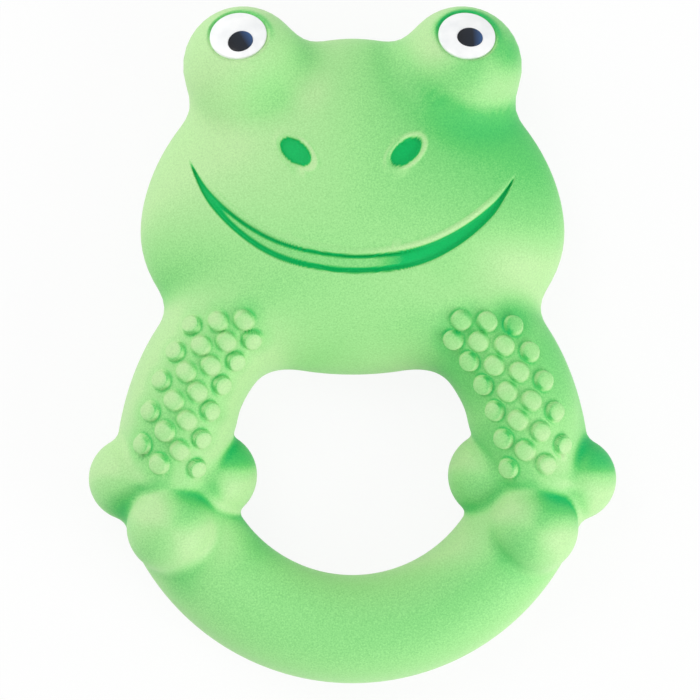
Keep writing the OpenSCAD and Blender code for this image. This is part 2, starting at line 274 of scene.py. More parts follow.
# How rays and points find the form's surface
search = {"reach": 64.0, "halvings": 24, "slopeStep": 0.02, "pulls": 3}


def rayReach(form, start, way, depth):
    # Length of each ray from inside the form to a given depth under its surface
    low = np.zeros(len(start))
    high = np.full(len(start), search["reach"])
    for _ in range(search["halvings"]):
        half = (low + high) / 2
        inside = form(start + way * half[:, None]) < -depth
        low = np.where(inside, half, low)
        high = np.where(inside, high, half)
    return (low + high) / 2


def formNormals(form, points):
    slopes = np.empty_like(points)
    for axis in range(3):
        shift = np.zeros(3)
        shift[axis] = search["slopeStep"]
        slopes[:, axis] = form(points + shift) - form(points - shift)
    return slopes / np.linalg.norm(slopes, axis=1)[:, None]


def ontoForm(form, points):
    for _ in range(search["pulls"]):
        points = points - formNormals(form, points) * form(points)[:, None]
    return points


def faceHeights(x, y):
    start = np.stack([x, y, np.zeros(len(x))], axis=1)
    up = np.tile([0.0, 0.0, 1.0], (len(x), 1))
    return rayReach(skinDistance, start, up, 0)


def rawPoints(obj):
    flat = np.empty(len(obj.data.vertices) * 3)
    obj.data.vertices.foreach_get("co", flat)
    return flat.reshape(-1, 3)


def readPoints(obj):
    return toForm(rawPoints(obj))


def writePoints(obj, points):
    obj.data.vertices.foreach_set("co", toFrame(points).astype(np.float32).ravel())
    obj.data.update()


def faceCentres(obj):
    flat = np.empty(len(obj.data.polygons) * 3)
    obj.data.polygons.foreach_get("center", flat)
    return toForm(flat.reshape(-1, 3))


def edgeList(obj):
    flat = np.empty(len(obj.data.edges) * 2, int)
    obj.data.edges.foreach_get("vertices", flat)
    return flat.reshape(-1, 2)


def setShare(obj, name, values):
    layer = obj.data.attributes.new(name, "FLOAT", "POINT")
    layer.data.foreach_set("value", values.astype(np.float32))


# One half of the hollow ring: a torus whose rows run over the outer face and back along the lining
torusRadius = (ring["radius"] + arm["radius"]) / 2
crowding = 0.4  # stations stand closer together over the head than on the ring


def addTorus(name, stations, rows):
    clearSelection()
    bpy.ops.mesh.primitive_torus_add(
        location=formOrigin * mm,
        major_segments=stations,
        minor_segments=rows,
        major_radius=torusRadius * mm,
        minor_radius=ring["tube"] * mm,
    )
    obj = bpy.context.object
    nameObject(obj, name)
    applyPlace(obj)
    return obj


def torusPlaces(points, rows):
    # Turn round the grip hole and row round the tube of each of a torus's points
    turn = np.arctan2(points[:, 1], points[:, 0])
    tilt = np.arctan2(points[:, 2], np.hypot(points[:, 0], points[:, 1]) - torusRadius)
    row = np.rint(tilt / (2 * math.pi) * rows).astype(int) % rows
    return turn + crowding * np.cos(turn), row


def sectionPoints(form, angles, across, depth):
    # Points of the sections at these angles, each seen from its section's own middle
    count = len(angles)
    out = np.stack([np.cos(angles), np.sin(angles), np.zeros(count)], axis=1)
    up = np.tile([0.0, 0.0, 1.0], (count, 1))
    heart = out * torusRadius
    outer = rayReach(form, heart, out, depth)
    inner = rayReach(form, heart, -out, depth)
    centre = heart + out * ((outer - inner) / 2)[:, None]
    half = (outer + inner) / 2
    above = rayReach(form, centre, up, depth)
    below = rayReach(form, centre, -up, depth)
    height = np.where(np.sin(across) >= 0, above, below)
    aim = out * (half * np.cos(across))[:, None] + up * (height * np.sin(across))[:, None]
    edge = np.abs(np.sin(across)) < 1e-4
    aim[edge, 2] = 0
    way = aim / np.linalg.norm(aim, axis=1)[:, None]
    far = np.where(edge, half, rayReach(form, centre, way, depth))
    return centre + way * far[:, None]


def hollowHalf(name, size, form, start):
    # The section's outer rows run half way round from the start angle, and the lining's rows run back
    rows = size["rows"] + size["liningRows"] + 2
    obj = addTorus(name, size["stations"], rows)
    points = readPoints(obj)
    angles, row = torusPlaces(points, rows)
    lining = row > size["rows"]
    share = np.where(lining, (rows - 1 - row) / size["liningRows"], row / size["rows"])
    across = start + math.pi * share
    points[~lining] = sectionPoints(form, angles[~lining], across[~lining], 0)
    points[lining] = sectionPoints(form, angles[lining], across[lining], skin["wall"])
    writePoints(obj, points)
    return obj


# How the outer face's points even out: share of the way per round, and rounds from one settling to the next
relaxing = {"pull": 0.5, "settleEvery": 4}


def relaxOnForm(obj, form, rounds):
    # Evens out the spacing of the outer face's points, which stay on the form
    points = readPoints(obj)
    loose = onOuterFace(form, points) & (np.abs(points[:, 2]) > skin["partingLevel"])
    ends = edgeList(obj)
    count = np.bincount(ends.ravel(), minlength=len(points))
    for step in range(rounds):
        total = np.zeros_like(points)
        for axis in range(3):
            total[:, axis] = np.bincount(ends[:, 0], points[ends[:, 1], axis], len(points))
            total[:, axis] += np.bincount(ends[:, 1], points[ends[:, 0], axis], len(points))
        points[loose] += relaxing["pull"] * (total[loose] / count[loose, None] - points[loose])
        if (step + 1) % relaxing["settleEvery"] == 0:
            points[loose] = ontoForm(form, points[loose])
    writePoints(obj, points)


# Places of the details on the face, in the same millimetres
# A pair of values is where something starts and where it is full
faceLevel = 5.0  # the smile and the nostrils lie above this height
eyeLevel = 4.0  # a socket lies further than this along its eye's axis
eyeInlay = {"radius": 5.0, "gap": 0.06, "floor": 8.5, "floorGap": 0.05, "rimRound": 0.45, "cutMargin": 1.4}
nose = {
    "spread": 19.2, "shift": -0.3, "rise": 13.8, "length": 6.4, "width": 3.7, "depth": 0.8, "slant": 40.0,
    "wall": (1.05, 0.88), "rollStart": 1.02, "rollShare": 1.5, "rollHeight": 0.25, "cutMargin": 0.1,
}
mouth = {
    "width": 56.0, "corner": 10.7, "sag": 14.7, "open": 2.9, "depth": 0.8, "turn": 2.5,
    "upperFull": 0.4, "lowerFull": 0.6, "fullBase": 0.5, "fullRise": (0.1, 0.55), "fullFall": (1.02, 0.88),
    "ends": (1.03, 0.98), "upperWall": (-0.3, 0.2), "lowerWall": (-0.3, 0.25),
    "stripRise": 0.62, "stripUnder": (0.1, 0.65), "stripOver": (0.4, 1.0),
    "stripLeft": (-0.89, -0.74), "stripRight": (0.63, 0.13),
    "rollHeight": 0.3, "rollWidth": 1.5, "rollEnds": (1.0, 0.8), "cutAbove": 1.8, "cutBelow": 1.1,
}
nubs = {
    "across": 14.8, "drop": 9.5, "radius": 42.2, "step": 3.3, "start": 6.6, "pitch": 7.2, "pitchLoss": 0.16,
    "closing": 0.1, "counts": (6, 6, 6, 5), "size": 1.85, "height": 1.05, "lean": 0.9, "crown": 0.3,
    "edge": 0.35, "edgeDrop": 6.0, "edgePower": 1.5, "foot": 0.25, "apron": 0.6, "cutMargin": 0.9,
    "wallInset": 0.1, "axisReach": 4.0,
}
farAway = 1e3

# Painted shade in the hollows of the form, in the lee of the nubs and round the eye sockets
paintedCreaseShade = {
    "near": 0.25, "nearReaches": (0.8, 1.6, 3.0), "wide": 0.3, "wideReaches": (5.0, 8.0),
    "nub": 0.85, "nubReaches": (0.5, 1.0), "leeBase": 0.3, "leeGain": 1.6,
    "socket": 0.62, "socketReach": 1.8, "socketUpper": (-0.5, 0.6),
}

# Painted shade (deeper green) and painted light (paler green) over the form, and the grooves' deep green:
# shares of tone, and the heights between which each zone runs
paintedShadingAndGrooves = {
    "level": 0.3, "ringLevel": 0.09, "rim": -0.2, "ringRim": -0.31, "across": 0.085,
    "armCross": 0.68, "handCross": 0.95, "headCross": 0.46, "ringCross": 0.2, "headQuarter": 0.52,
    "handLower": 0.45, "cheekLower": 0.6, "bulgeReach": 11.4, "frontFade": 4.0,
    "headZone": (20.0, 30.0), "handZone": (1.0, -5.0), "ringZone": (-16.0, -25.0),
    "cleft": 0.5, "cleftZone": (5.0, -5.0), "leaning": (0.0, 0.4),
    "fingerUpper": 0.3, "fingerEdge": (1.2, 0.2),
    "groove": 1.12, "grooveGain": 1.7, "lipRim": -0.3, "lipRight": (0.0, 0.45),
    "nostrilRim": -0.38, "rimRight": (-0.5, 1.5), "rightRim": 1.5,
    "nubTopHighlight": -0.14, "topEdge": (0.1, -0.3), "rightTops": 0.5, "midline": (-5.0, 5.0),
    "nubField": 0.12, "fieldReach": 5.0, "armShare": -0.12, "armSide": (13.0, 20.0),
}

# Places with more painted shade (positive share) or painted light (negative share) than round about
paintedJawLight = {"x": 28.0, "y": 27.0, "reach": 13.0, "share": -0.26}
paintedBrowShade = {"x": 20.5, "y": 58.2, "reach": 11.0, "share": 0.19}
paintedLightAndShadeSpots = {
    "aboveOuterRightNubs": {"x": 27.3, "y": 21.6, "reach": 6.0, "share": 0.34},
    "aboveInnerRightNubs": {"x": 20.3, "y": 21.4, "reach": 5.0, "share": 0.24},
    "rightWrist": {"x": 36.4, "y": -4.6, "reach": 6.0, "share": -0.16},
    "rightOuterFinger": {"x": 42.0, "y": -5.4, "reach": 6.0, "share": -0.12},
    "rightKnuckle": {"x": 36.4, "y": -15.5, "reach": 5.0, "share": -0.2},
    "leftPalm": {"x": -22.3, "y": -16.0, "reach": 7.5, "share": -0.28},
    "leftOuterCrease": {"x": -40.5, "y": -12.6, "reach": 5.0, "share": 0.3},
    "leftInnerCrease": {"x": -24.6, "y": -8.0, "reach": 4.0, "share": 0.25},
    "underLeftKnuckle": {"x": -29.9, "y": -25.3, "reach": 5.0, "share": 0.12},
    "rightInnerCrease": {"x": 20.5, "y": -15.0, "reach": 5.5, "share": 0.15},
    "rightArmpit": {"x": 12.3, "y": 15.3, "reach": 7.0, "share": -0.12},
    "underLeftEye": {"x": -22.8, "y": 54.8, "reach": 9.0, "share": -0.13},
    "leftBulge": {"x": -15.5, "y": 61.8, "reach": 7.0, "share": 0.2},
    "innerSideOfLeftBulge": {"x": -8.0, "y": 61.5, "reach": 6.0, "share": -0.16},
    "outerSideOfRightBulge": {"x": 27.8, "y": 67.6, "reach": 5.5, "share": 0.28},
    "underRightEye": {"x": 21.0, "y": 64.0, "reach": 4.5, "share": 0.16},
    "innerSideOfRightBulge": {"x": 14.0, "y": 68.0, "reach": 5.5, "share": -0.2},
}


def eyeAxis(side):
    tilt = math.radians(bulge["tilt"])
    turn = math.radians(bulge["turn"])
    return np.array([side * math.cos(tilt) * math.sin(turn), math.sin(tilt), math.cos(tilt) * math.cos(turn)])


def eyePlace(points, side):
    # Height along the eye's axis and distance from that axis
    away = points - bulgeCentre * [side, 1, 1]
    along = away @ eyeAxis(side)
    return along, np.linalg.norm(away - along[:, None] * eyeAxis(side), axis=1)


def nostrilPlace(points, side):
    # Share of the way from a nostril's middle to its edge
    slant = math.radians(side * nose["slant"])
    x = points[:, 0] - side * nose["spread"] / 2 - nose["shift"]
    y = points[:, 1] - head["rise"] - nose["rise"]
    long = (x * math.cos(slant) + y * math.sin(slant)) / (nose["length"] / 2)
    short = (y * math.cos(slant) - x * math.sin(slant)) / (nose["width"] / 2)
    return np.hypot(long, short)


def lipRadius(sag):
    return ((mouth["width"] / 2) ** 2 + sag ** 2) / (2 * sag)


def mouthPlace(points):
    # Depth under the upper lip's edge, height over the lower one's, and place along the smile from -1 to 1
    turn = math.radians(mouth["turn"])
    y = points[:, 1] - head["rise"] - mouth["corner"]
    x = points[:, 0] * math.cos(turn) - y * math.sin(turn)
    y = y * math.cos(turn) + points[:, 0] * math.sin(turn)
    upper = lipRadius(mouth["sag"])
    lower = lipRadius(mouth["sag"] + mouth["open"])
    under = np.hypot(x, y - upper + mouth["sag"]) - upper
    over = lower - np.hypot(x, y - lower + mouth["sag"] + mouth["open"])
    along = x / (mouth["width"] / 2)
    # Both lips bow out further than an arc does, most of all half way to the corners
    reach = np.abs(along)
    fuller = mouth["fullBase"] + ease(*mouth["fullRise"], reach) * ease(*mouth["fullFall"], reach)
    return under - mouth["upperFull"] * fuller, over + mouth["lowerFull"] * fuller, along


def nubCentres():
    # A fan of nubs on each arm about a middle across the midline, every other arc half a step further on
    found = []
    for side in (1, -1):
        for arc, count in enumerate(nubs["counts"]):
            radius = nubs["radius"] + nubs["step"] * arc
            for k in range(count):
                step = k + (arc % 2) / 2
                pitch = nubs["pitch"] - nubs["pitchLoss"] * arc
                angle = math.radians(nubs["start"] + pitch * step - nubs["closing"] * step ** 2)
                x = radius * math.cos(angle) - nubs["across"]
                found.append([side * x, radius * math.sin(angle) - nubs["drop"]])
    flat = np.array(found)
    centres = np.column_stack([flat, faceHeights(flat[:, 0], flat[:, 1])])
    axes = formNormals(skinDistance, centres) * nubs["lean"] + np.array([0, 0, 1 - nubs["lean"]])
    return centres, axes / np.linalg.norm(axes, axis=1)[:, None]


nubPlaces, nubAxes = nubCentres()


def nearestNub(points):
    # Distance from the axis of the nearest nub, and which nub that is
    gaps = np.full(len(points), farAway)
    which = np.zeros(len(points), int)
    for index, (centre, axis) in enumerate(zip(nubPlaces, nubAxes)):
        away = points - centre
        along = away @ axis
        off = np.linalg.norm(away - along[:, None] * axis, axis=1)
        off = np.where(np.abs(along) < nubs["axisReach"], off, farAway)
        which = np.where(off < gaps, index, which)
        gaps = np.minimum(gaps, off)
    return gaps, which


# Front half of the skin
frontSkin = {
    "stations": 360, "rows": 58, "liningRows": 20, "relax": 40,
    "handCuts": 1, "nubCuts": 3, "eyeCuts": 3, "nostrilCuts": 3, "mouthCuts": 5, "handMargin": 2.5,
}
frontForm = hollowHalf("frontSkin", frontSkin, skinDistance, 0)
relaxOnForm(frontForm, skinDistance, frontSkin["relax"])
print("front skin pulled onto the form")


def inMouth(points):
    under, over, along = mouthPlace(points)
    between = (under > -mouth["cutAbove"]) & (over > -mouth["cutBelow"]) & (np.abs(along) < mouth["ends"][0])
    return between & (points[:, 2] > faceLevel)


def inNostril(points):
    reach = np.minimum(nostrilPlace(points, 1), nostrilPlace(points, -1))
    return (reach < nose["rollShare"] + nose["cutMargin"]) & (points[:, 2] > faceLevel)


def inEye(points):
    found = np.zeros(len(points), bool)
    for side in (1, -1):
        along, off = eyePlace(points, side)
        found |= (off < eyeInlay["radius"] + eyeInlay["cutMargin"]) & (along > eyeLevel)
    return found


def inNubs(points):
    return nearestNub(points)[0] < nubs["size"] + nubs["cutMargin"]


def inHand(points):
    p = points.copy()
    p[:, 0] = np.abs(p[:, 0])
    sides = np.minimum(distanceTo(p, innerFinger), distanceTo(p, outerFinger)) - finger["innerRadius"]
    away = np.minimum(sides, distanceTo(p, middleFinger) - middle["radius"])
    return (away < frontSkin["handMargin"]) & ~inNubs(points)


for zone, cuts in (
    (inHand, "handCuts"),
    (inNubs, "nubCuts"),
    (inEye, "eyeCuts"),
    (inNostril, "nostrilCuts"),
    (inMouth, "mouthCuts"),
):
    centres = faceCentres(frontForm)
    selectParts(frontForm, "polygons", zone(centres) & onOuterFace(skinDistance, centres))
    bpy.ops.mesh.subdivide(number_cuts=frontSkin[cuts], smoothness=0)
    finishEdit()
points = readPoints(frontForm)
raised = (points[:, 2] > skin["partingLevel"]) & onOuterFace(skinDistance, points)
points[raised] = ontoForm(skinDistance, points[raised])
smoothSkin = points.copy()
outer = onOuterFace(skinDistance, points)
print("front skin refined:", len(points), "points")

# Nubs: round buttons that rise along an axis close to the surface's own
nubGap, nubIndex = nearestNub(points)
onNub = (nubGap < nubs["size"] + nubs["apron"]) & outer
nubCentre = nubPlaces[nubIndex[onNub]]
nubAxis = nubAxes[nubIndex[onNub]]
base = np.sum((points[onNub] - nubCentre) * nubAxis, axis=1)
top = nubs["height"] - nubs["crown"] * (nubGap[onNub] / nubs["size"]) ** 2
pastEdge = np.clip(nubGap[onNub] - nubs["size"] + nubs["edge"], 0, None)
top = top - nubs["edgeDrop"] * pastEdge ** nubs["edgePower"]
rise = softMax(np.zeros(len(base)), top - base, nubs["foot"])
points[onNub] = points[onNub] + nubAxis * rise[:, None]

# Smile: two lines with a strip of lower lip between them, under an upper lip that rolls out a little
under, over, along = mouthPlace(points)
lips = inMouth(points) & outer
shape = ease(*mouth["upperWall"], under) * ease(*mouth["lowerWall"], over)
shape = shape * ease(*mouth["ends"], np.abs(along))
strip = ease(*mouth["stripUnder"], under) * ease(*mouth["stripOver"], over)
strip = strip * ease(*mouth["stripLeft"], along) * ease(*mouth["stripRight"], along)
mouthSink = np.where(lips, (mouth["depth"] - mouth["stripRise"] * strip) * shape, 0)
lipRoll = np.sin(math.pi * np.clip(-under / mouth["rollWidth"], 0, 1)) ** 2
lipRoll = np.where(lips & (over > 0), lipRoll * ease(*mouth["rollEnds"], np.abs(along)), 0)
points[:, 2] = points[:, 2] - mouthSink + mouth["rollHeight"] * lipRoll

# Nostrils: flat-bottomed pits with a low rolled rim
onFace = outer & (points[:, 2] > faceLevel)
nostrilShare = np.minimum(nostrilPlace(smoothSkin, 1), nostrilPlace(smoothSkin, -1))
nostrilSink = np.where(onFace, nose["depth"] * ease(*nose["wall"], nostrilShare), 0)
acrossRim = np.clip((nostrilShare - nose["rollStart"]) / (nose["rollShare"] - nose["rollStart"]), 0, 1)
nostrilRoll = np.where(onFace, np.sin(math.pi * acrossRim) ** 2, 0)
points[:, 2] = points[:, 2] - nostrilSink + nose["rollHeight"] * nostrilRoll

# Eye sockets: round wells along each eye's axis, with a soft rim, and painted shade round its upper side
socketShade = np.zeros(len(points))
wellWall = eyeInlay["radius"] + eyeInlay["gap"]
eyeTilt = math.radians(bulge["tilt"])
for side in (1, -1):
    heightNow, off = eyePlace(points, side)
    upward = (points - bulgeCentre * [side, 1, 1]) @ [0, math.cos(eyeTilt), -math.sin(eyeTilt)]
    band = ease(paintedCreaseShade["socketReach"], 0, off - wellWall) * ease(*paintedCreaseShade["socketUpper"], upward / wellWall)
    socketShade = np.maximum(socketShade, np.where(heightNow > eyeLevel, band, 0))
    share = ease(wellWall + eyeInlay["rimRound"], wellWall, off)
    well = (off < wellWall + eyeInlay["rimRound"]) & (heightNow > eyeLevel) & outer
    drop = np.where(well, (heightNow - eyeInlay["floor"] + eyeInlay["floorGap"]) * share, 0)
    points = points - drop[:, None] * eyeAxis(side)

# Parting seam: the skin draws in a little just above the parting plane
outward = formNormals(skinDistance, smoothSkin)
seam = np.where(outer, skin["seamDepth"] * (1 - ease(0, skin["seamReach"], points[:, 2])), 0)
points = points - outward * [1, 1, 0] * seam[:, None]
writePoints(frontForm, points)
print("front details moulded")

# Depth of colour at each place of the front: painted light and shade, and the grooves' deep green
normals = np.empty(len(points) * 3)
frontForm.data.vertex_normals.foreach_get("vector", normals)
normals = normals.reshape(-1, 3)


def nubbedDistance(p):
    gaps, which = nearestNub(p)
    tops = np.sum((p - nubPlaces[which]) * nubAxes[which], axis=1) - nubs["height"]
    return np.minimum(skinDistance(p), np.maximum(gaps - nubs["size"] + nubs["wallInset"], tops))


def closedIn(form, points, normals, reaches):
    # How far the form shuts in each place, seen out to these distances
    shut = np.zeros(len(points))
    for reach in reaches:
        room = form(points + normals * reach) / reach
        shut += np.clip(1 - room, 0, 1) / len(reaches)
    return shut


def spotShare(points, spot):
    return ease(spot["reach"], 0, np.hypot(points[:, 0] - spot["x"], points[:, 1] - spot["y"]))


def paintedLightAndShadeTone(points, normals):
    # Painted shade on surfaces facing the upper right and the lower left, painted light over the rims, and
    # evener on the ring
    onHead = ease(*paintedShadingAndGrooves["headZone"], points[:, 1])
    onRing = ease(*paintedShadingAndGrooves["ringZone"], points[:, 1])
    onHand = ease(*paintedShadingAndGrooves["handZone"], points[:, 1]) - onRing
    onArm = 1 - onHead - onHand - onRing
    lean = np.hypot(normals[:, 0], normals[:, 1])
    cross = normals[:, 0] * normals[:, 1] / (lean + 1e-3)
    gain = paintedShadingAndGrooves["armCross"] * onArm + paintedShadingAndGrooves["handCross"] * onHand
    gain = gain + paintedShadingAndGrooves["headCross"] * onHead + paintedShadingAndGrooves["ringCross"] * onRing
    lowerLeft = (normals[:, 0] < 0) & (normals[:, 1] < 0)
    gain = np.where(lowerLeft, gain * (1 - (1 - paintedShadingAndGrooves["handLower"]) * onHand), gain)
    offBulge = 1 - ease(paintedShadingAndGrooves["bulgeReach"], bulge["radius"], distanceTo(points, bulgeCentre))
    # Painted shade deepens the head's upper right and lower left quarters, away from the right eye's bulge
    side = points[:, 0] / head["half"]
    quarter = side * (points[:, 1] - head["rise"]) / head["up"] * onHead * offBulge
    quarter = np.where((side < 0) & (quarter > 0), quarter * paintedShadingAndGrooves["cheekLower"], quarter)
    rim = (paintedShadingAndGrooves["rim"] * (1 - onRing) + paintedShadingAndGrooves["ringRim"] * onRing) * (1 - np.clip(normals[:, 2], 0, 1))
    level = paintedShadingAndGrooves["level"] + paintedShadingAndGrooves["ringLevel"] * onRing + paintedJawLight["share"] * spotShare(points, paintedJawLight)
    level = level + paintedBrowShade["share"] * spotShare(points, paintedBrowShade) * offBulge
    onFront = ease(0, paintedShadingAndGrooves["frontFade"], points[:, 2])
    for paintedSpot in paintedLightAndShadeSpots.values():
        level = level + paintedSpot["share"] * spotShare(points, paintedSpot) * onFront
    return level + gain * cross + paintedShadingAndGrooves["headQuarter"] * quarter + rim + paintedShadingAndGrooves["across"] * side


# Painted shade in creases and hollows, added to the painted light and shade over the form
creased = closedIn(skinDistance, smoothSkin, outward, paintedCreaseShade["nearReaches"])
sheltered = closedIn(skinDistance, smoothSkin, outward, paintedCreaseShade["wideReaches"])
paintedShadingAndGrooveTone = paintedCreaseShade["near"] * creased + paintedCreaseShade["wide"] * sheltered + paintedLightAndShadeTone(points, normals)

# Nubs get painted highlights on their tops and a painted shade crescent on the uphill side, and the left arm
# gets painted shade between them
nubTopHighlight = ease(*paintedShadingAndGrooves["topEdge"], nubGap - nubs["size"])
paintedShadingAndGrooveTone += paintedShadingAndGrooves["nubTopHighlight"] * nubTopHighlight * (1 + paintedShadingAndGrooves["rightTops"] * ease(*paintedShadingAndGrooves["midline"], points[:, 0]))
nubFieldShade = paintedShadingAndGrooves["nubField"] + paintedShadingAndGrooves["armShare"] * ease(*paintedShadingAndGrooves["armSide"], points[:, 0])
paintedShadingAndGrooveTone += nubFieldShade * ease(paintedShadingAndGrooves["fieldReach"], nubs["size"] + nubs["apron"], nubGap) * (1 - nubTopHighlight)
uphill = np.array([0, 0, 1]) - outward[onNub] * outward[onNub, 2:]
sideways = smoothSkin[onNub] - nubCentre
sideways /= np.linalg.norm(sideways, axis=1)[:, None] + 1e-6
lee = np.clip(paintedCreaseShade["leeBase"] + paintedCreaseShade["leeGain"] * np.sum(sideways * uphill, axis=1), 0, 1)
nubFootShade = closedIn(nubbedDistance, points[onNub], normals[onNub], paintedCreaseShade["nubReaches"])
paintedShadingAndGrooveTone[onNub] += paintedCreaseShade["nub"] * lee * nubFootShade

# Painted shadow on the hands: in their clefts, and on two fingers, on the sides facing the upper right
towardUpperRight = ease(*paintedShadingAndGrooves["leaning"], np.minimum(normals[:, 0], normals[:, 1]))
for centre, radius in ((innerFinger * [-1, 1, 1], finger["innerRadius"]), (outerFinger, finger["radius"])):
    onFinger = ease(*paintedShadingAndGrooves["fingerEdge"], distanceTo(smoothSkin, centre) - radius)
    paintedShadingAndGrooveTone += paintedShadingAndGrooves["fingerUpper"] * onFinger * towardUpperRight
inHands = ease(*paintedShadingAndGrooves["cleftZone"], points[:, 1]) * (1 - ease(*paintedShadingAndGrooves["ringZone"], points[:, 1]))
paintedShadingAndGrooveTone += paintedShadingAndGrooves["cleft"] * creased * towardUpperRight * inHands

# Painted shade deepens the sockets, painted highlights pale the rolled rims, and the grooves take the deepest
# green of all, more as they sink deeper
paintedShadingAndGrooveTone += paintedCreaseShade["socket"] * socketShade
rightOfNostril = points[:, 0] - np.sign(points[:, 0]) * nose["spread"] / 2
rimReach = np.where(points[:, 0] > 0, paintedShadingAndGrooves["rightRim"], 0)
paintedShadingAndGrooveTone += paintedShadingAndGrooves["nostrilRim"] * nostrilRoll * ease(*paintedShadingAndGrooves["rimRight"], rightOfNostril + rimReach)
paintedShadingAndGrooveTone += paintedShadingAndGrooves["lipRim"] * lipRoll * ease(*paintedShadingAndGrooves["lipRight"], along)
paintedShadingAndGrooveTone = np.where(outer, np.clip(paintedShadingAndGrooveTone, 0, 1), 0)
for sunk in (mouthSink / mouth["depth"], nostrilSink / nose["depth"]):
    paintedShadingAndGrooveTone = np.maximum(paintedShadingAndGrooveTone, paintedShadingAndGrooves["groove"] * np.clip(paintedShadingAndGrooves["grooveGain"] * sunk, 0, 1))
setShare(frontForm, "paintedShadingAndGrooveTone", paintedShadingAndGrooveTone)
print("front skin closed:", len(frontForm.data.polygons), "faces")

# Back half of the skin, plain and with the flat that it lies on
backSkin = {"stations": 360, "rows": 40, "liningRows": 20, "relax": 20}
backForm = hollowHalf("backSkin", backSkin, flatBackDistance, math.pi)
relaxOnForm(backForm, flatBackDistance, backSkin["relax"])
points = readPoints(backForm)
outer = onOuterFace(flatBackDistance, points)
outward = formNormals(flatBackDistance, points)
seam = np.where(outer, skin["seamDepth"] * (1 - ease(0, skin["seamReach"], -points[:, 2])), 0)
# Painted shade in the back's hollows, and painted light and shade over it
creased = closedIn(flatBackDistance, points, outward, paintedCreaseShade["nearReaches"])
sheltered = closedIn(flatBackDistance, points, outward, paintedCreaseShade["wideReaches"])
paintedShadingAndGrooveTone = paintedCreaseShade["near"] * creased + paintedCreaseShade["wide"] * sheltered + paintedLightAndShadeTone(points, outward)
setShare(backForm, "paintedShadingAndGrooveTone", np.where(outer, np.clip(paintedShadingAndGrooveTone, 0, 1), 0))
writePoints(backForm, points - outward * [1, 1, 0] * seam[:, None])
print("back skin closed:", len(backForm.data.polygons), "faces")


# Eyes: a domed white in each socket with a seat for its pupil, and a domed oval pupil in that seat
eyeWhite = {
    "sink": 0.3, "rise": 1.0, "sides": 96, "rows": 14, "rim": 0.16, "rimDrop": 0.05,
    "seatRim": 0.05, "seatRise": 0.3, "rimSteps": 3, "crease": 40.0,
}
pupil = {
    "half": 2.2, "share": 0.86, "drop": 1.0, "shift": 0.4, "seat": 1.1, "proud": 0.12, "gap": 0.05,
    "rim": 0.08, "rows": 10, "core": 0.2, "leftTurn": 32.0, "leftDrop": 0.8, "leftShift": 0.2,
}
whiteEdge = math.sqrt(bulge["radius"] ** 2 - eyeInlay["radius"] ** 2) - eyeWhite["sink"]
whiteCrown = whiteEdge + eyeWhite["rise"]
whiteDome = (eyeInlay["radius"] ** 2 + eyeWhite["rise"] ** 2) / (2 * eyeWhite["rise"])
seatFloor = whiteCrown - pupil["seat"]
coreStart = 0.5  # an inlay's inner circle starts at this share of its outer one, which tells them apart


def ovalShare(x, y, oval):
    # Share of the way from an oval's middle to its edge
    return np.hypot((x - oval["x"]) / oval["halfX"], (y - oval["y"]) / oval["halfY"])


def localPoints(obj):
    return rawPoints(obj) / mm


def writeLocal(obj, points):
    obj.data.vertices.foreach_set("co", (points * mm).ravel())
    obj.data.update()


def onOval(points, oval):
    return np.abs(ovalShare(points[:, 0], points[:, 1], oval) - 1) < 1e-3


def dropLoop(obj, oval, floor):
    # Draws the edge along an oval down to a floor and closes it there
    points = localPoints(obj)
    selectParts(obj, "edges", onOval(points, oval)[edgeList(obj)].all(axis=1))
    bpy.ops.mesh.extrude_edges_move()
    finishEdit()
    for vertex in obj.data.vertices:
        if vertex.select:
            vertex.co.z = floor * mm
    bpy.ops.object.mode_set(mode="EDIT")
    bpy.ops.mesh.edge_face_add()
    finishEdit()


def domedInlay(name, rim, core, rows, dome, crown, floor, coreFloor):
    # A dome between two ovals, in its own upright place, with straight sides down to its floor
    clearSelection()
    bpy.ops.mesh.primitive_circle_add(vertices=eyeWhite["sides"], radius=mm, fill_type="NOTHING")
    obj = bpy.context.object
    nameObject(obj, name)
    bpy.ops.object.mode_set(mode="EDIT")
    bpy.ops.mesh.primitive_circle_add(vertices=eyeWhite["sides"], radius=coreStart * mm, fill_type="NOTHING")
    finishEdit()
    points = localPoints(obj)
    inner = np.hypot(points[:, 0], points[:, 1]) < (1 + coreStart) / 2
    points /= np.where(inner, coreStart, 1)[:, None]
    for part, oval in ((inner, core), (~inner, rim)):
        points[part] = points[part] * [oval["halfX"], oval["halfY"], 1] + [oval["x"], oval["y"], 0]
    writeLocal(obj, points)
    bpy.ops.object.mode_set(mode="EDIT")
    bpy.ops.mesh.select_all(action="SELECT")
    bpy.ops.mesh.bridge_edge_loops(number_cuts=rows, interpolation="LINEAR")
    finishEdit()
    points = localPoints(obj)
    points[:, 2] = crown - dome + np.sqrt(dome ** 2 - points[:, 0] ** 2 - points[:, 1] ** 2)
    writeLocal(obj, points)
    dropLoop(obj, rim, floor)
    if coreFloor is None:
        points = localPoints(obj)
        selectParts(obj, "edges", onOval(points, core)[edgeList(obj)].all(axis=1))
        bpy.ops.mesh.edge_face_add()
        finishEdit()
    else:
        dropLoop(obj, core, coreFloor)
    bpy.ops.object.mode_set(mode="EDIT")
    bpy.ops.mesh.select_all(action="SELECT")
    bpy.ops.mesh.normals_make_consistent(inside=False)
    finishEdit()
    return obj


def roundRim(obj, oval, above, width):
    # Softens the upper edge along an oval
    points = localPoints(obj)
    onRim = onOval(points, oval) & (points[:, 2] > above)
    selectParts(obj, "edges", onRim[edgeList(obj)].all(axis=1))
    bpy.ops.mesh.bevel(offset=width * mm, segments=eyeWhite["rimSteps"], affect="EDGES")
    finishEdit()


